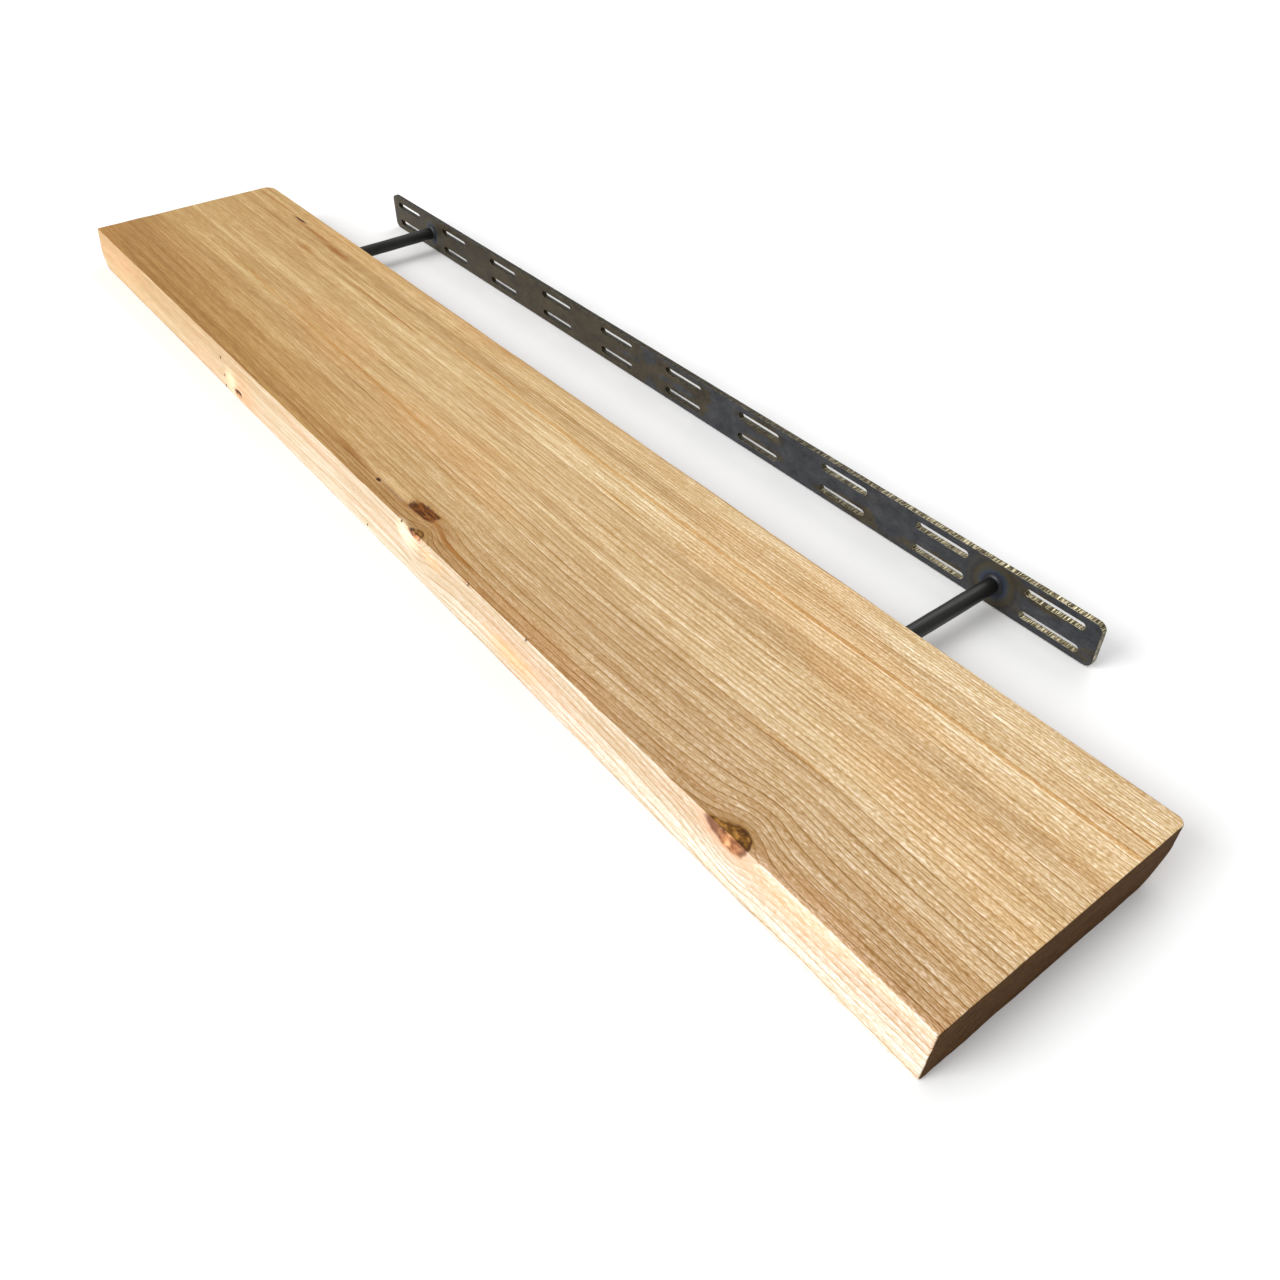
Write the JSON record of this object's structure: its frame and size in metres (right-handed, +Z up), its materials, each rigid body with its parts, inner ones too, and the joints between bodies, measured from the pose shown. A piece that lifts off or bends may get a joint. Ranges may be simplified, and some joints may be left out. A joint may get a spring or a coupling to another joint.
{
  "type": "wall shelf",
  "caption": "Blind wall shelf: a solid wood board that slides onto two round steel rods welded to a slotted steel wall plate, shown partly slid off.",
  "frame": {"origin": "centre of the wall plate's back face, on the wall plane", "axes": "+X along the shelf, to the right seen from the front; +Y into the wall, so the board is on the -Y side; +Z up"},
  "size_m": [1.23, 0.3219, 0.04],
  "materials": {
    "softwood_board": "bare sawn and brushed softwood, honey-brown top and paler front edge",
    "mill_scale_plate": "hot-rolled mill scale, bare bright-brown laser-cut edges",
    "black_rod": "black drawn bar, satin",
    "weld_metal": "dark fused metal with a blue heat tint"
  },
  "bodies": {
    "bracket": {"wall_plate": "mill_scale_plate", "rod_left": "black_rod", "rod_right": "black_rod", "weld_left": "weld_metal", "weld_right": "weld_metal"},
    "board": {"shelf_board": "softwood_board"}
  },
  "joints": [
    {"name": "board_slide", "type": "slide", "parent": "bracket", "child": "board", "axis": [0, -1, 0], "range_m": [-0.104, 0.05]}
  ]
}
